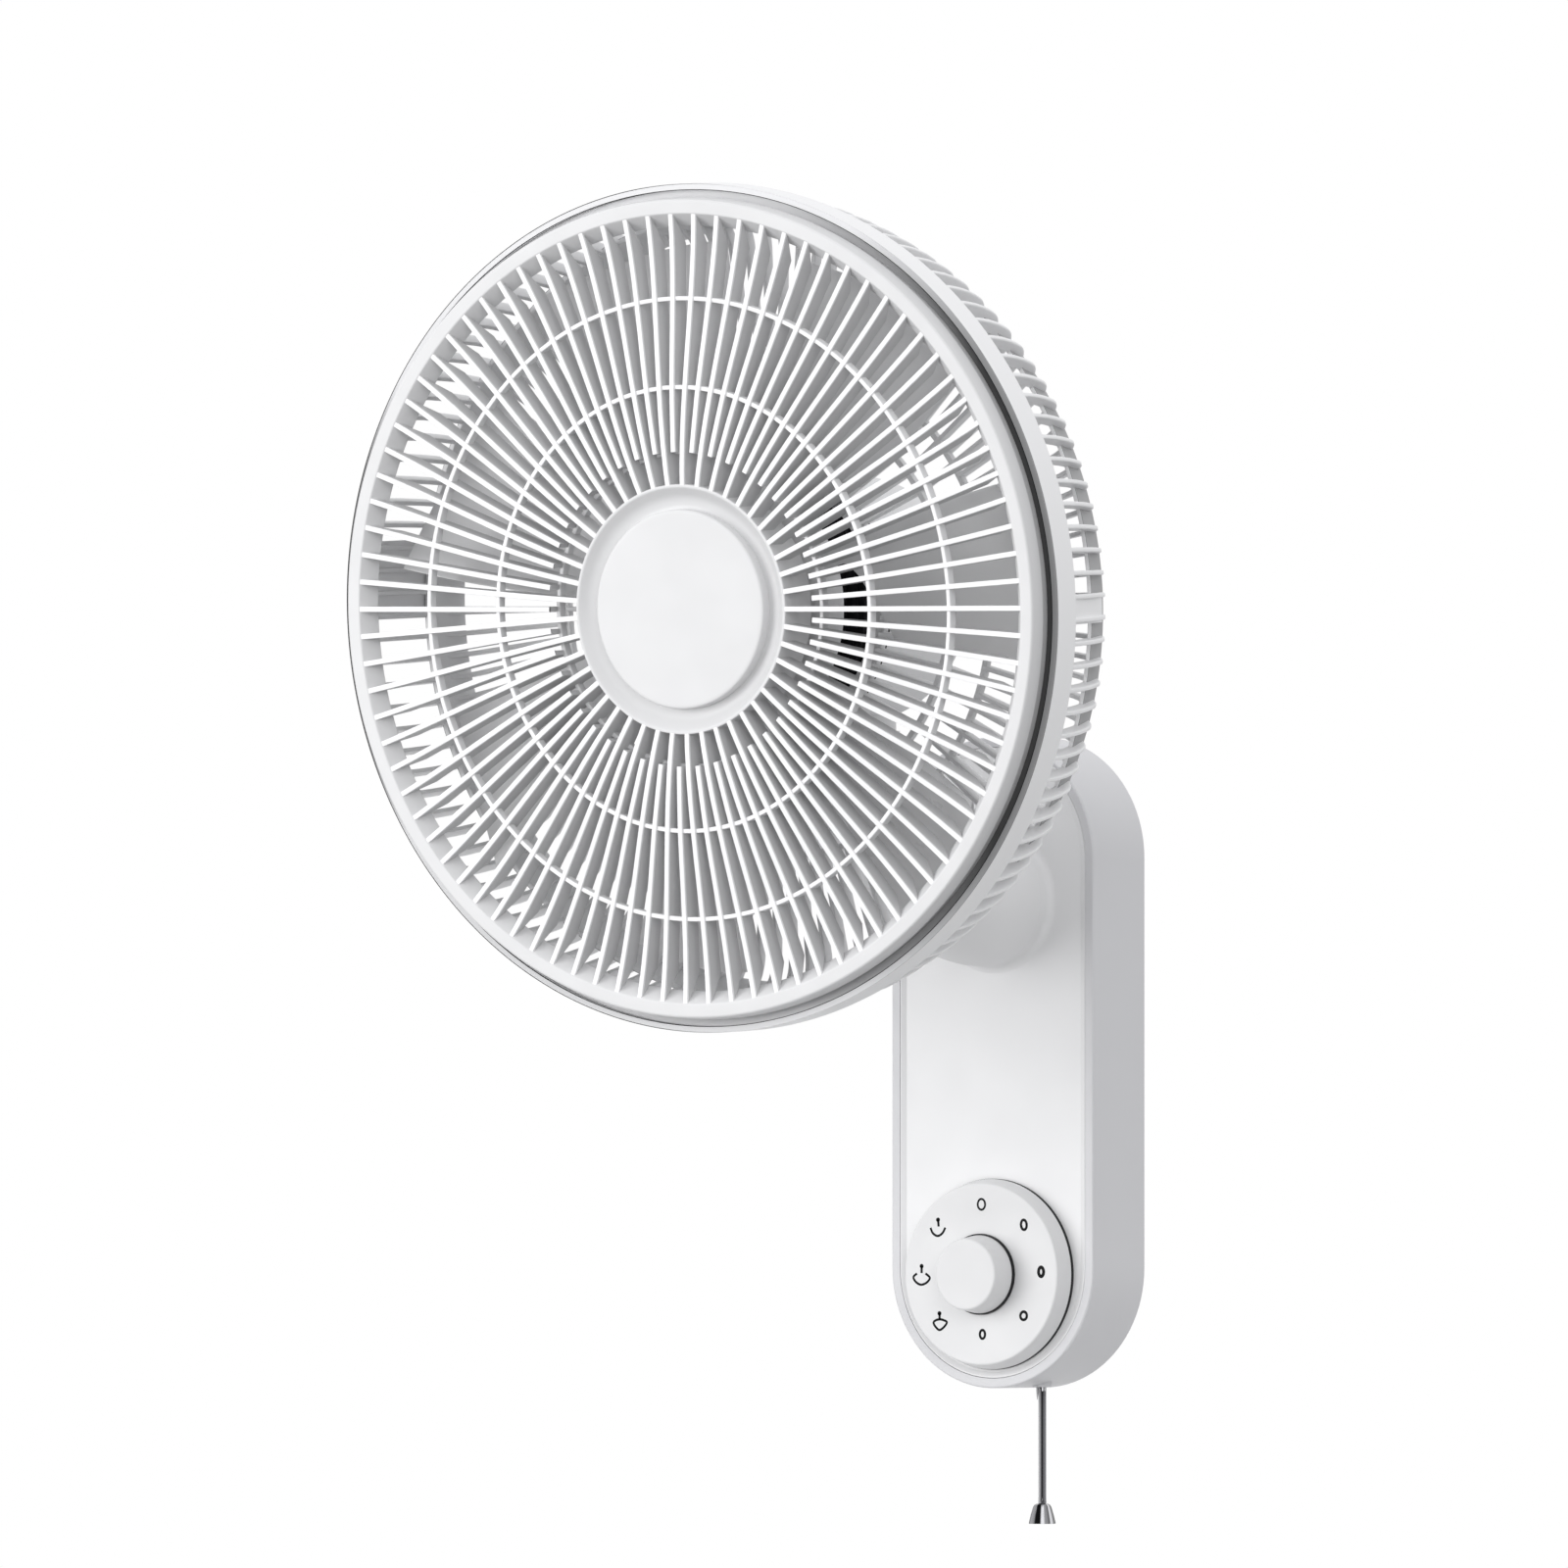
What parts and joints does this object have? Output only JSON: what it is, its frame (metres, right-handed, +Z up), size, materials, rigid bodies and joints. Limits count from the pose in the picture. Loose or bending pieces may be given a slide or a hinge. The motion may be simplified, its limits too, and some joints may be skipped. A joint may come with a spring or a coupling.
{
  "type": "wall mounted fan",
  "caption": "Wall fan: round guarded head that tilts and swings on a curved arm, above an upright rounded panel with a control dial and a pull cord.",
  "frame": {"origin": "centre of the wall plate's four screw holes, in the plane of the wall", "axes": "+X to the right of someone facing the fan, +Y into the wall, +Z up"},
  "size_m": [0.3456, 0.2736, 0.5476],
  "materials": {
    "white_plastic": "satin moulded",
    "case_plastic": "satin moulded",
    "blade_plastic": "smooth",
    "black_plastic": "moulded",
    "nylon": "natural",
    "zinc_steel": "zinc plated",
    "steel": "turned",
    "lamination": "laminated",
    "copper": "enamelled wire",
    "brass": "turned",
    "circuit_board": "solder mask",
    "black_rubber": "moulded",
    "cord_grey": "twisted strands",
    "bell_metal": "dark faceted"
  },
  "bodies": {
    "base": {"wall_plate": "zinc_steel", "rear_housing": "white_plastic", "front_panel": "white_plastic", "panel_screws": "steel", "control_board": "circuit_board", "motor_capacitor": "black_plastic", "terminal_block": "black_plastic", "cable_inlet": "black_rubber", "arm": "white_plastic", "arm_screws": "steel", "tilt_bolt": "steel", "tilt_nut": "steel", "tilt_washers": "nylon", "dial_plate": "white_plastic", "rotary_switch": "black_plastic", "switch_nut": "zinc_steel", "pull_switch": "black_plastic", "return_spring": "steel", "cord_bushing": "nylon"},
    "neck": {"neck": "white_plastic", "swing_shaft": "steel", "swing_gear": "nylon", "shaft_clip": "steel"},
    "head": {"front_guard": "white_plastic", "guard_cap": "white_plastic", "rear_guard": "white_plastic", "guard_screws": "steel", "motor_front_case": "black_plastic", "motor_rear_cover": "case_plastic", "end_shield": "zinc_steel", "front_bearing": "steel", "rear_bearing": "steel", "stator_core": "lamination", "stator_coils": "copper", "motor_screws": "steel", "swing_motor": "zinc_steel", "swing_bushing": "brass"},
    "rotor": {"rotor_shaft": "steel", "rotor_core": "lamination", "impeller": "blade_plastic", "blade_nut": "black_plastic"},
    "swing_pinion": {"swing_pinion": "nylon"},
    "knob": {"control_knob": "white_plastic", "knob_spindle": "steel"},
    "pull": {"pull_plunger": "bell_metal", "pull_cord": "cord_grey", "pull_bell": "bell_metal"}
  },
  "joints": [
    {"name": "head_tilt", "type": "hinge", "parent": "base", "child": "neck", "pos_m": [0, -0.142, 0.1], "axis": [1, 0, 0], "range_deg": [-17, 23]},
    {"name": "head_swing", "type": "hinge", "parent": "neck", "child": "head", "pos_m": [0, -0.14425, 0.13584], "axis": [0, -0.0349, 0.9994], "range_deg": [-42, 42]},
    {"name": "fan_spin", "type": "hinge", "parent": "head", "child": "rotor", "pos_m": [0, -0.23582, 0.18631], "axis": [0, 0.9994, 0.0349], "continuous": true},
    {"name": "swing_pinion_turn", "type": "hinge", "parent": "head", "child": "swing_pinion", "pos_m": [0.0209, -0.14502, 0.15783], "axis": [0, -0.0349, 0.9994], "range_deg": [-145, 145]},
    {"name": "knob_turn", "type": "hinge", "parent": "base", "child": "knob", "pos_m": [0, -0.05, -0.0865], "axis": [0, 1, 0], "range_deg": [0, 315]},
    {"name": "cord_pull", "type": "slide", "parent": "base", "child": "pull", "axis": [0, 0, -1], "range_m": [0, 0.008], "stiffness_N_per_m": 600, "deforming": ["return_spring"]}
  ],
  "couplings": [
    {"joint": "swing_pinion_turn", "follows": "head_swing", "ratio": 3.3333}
  ]
}
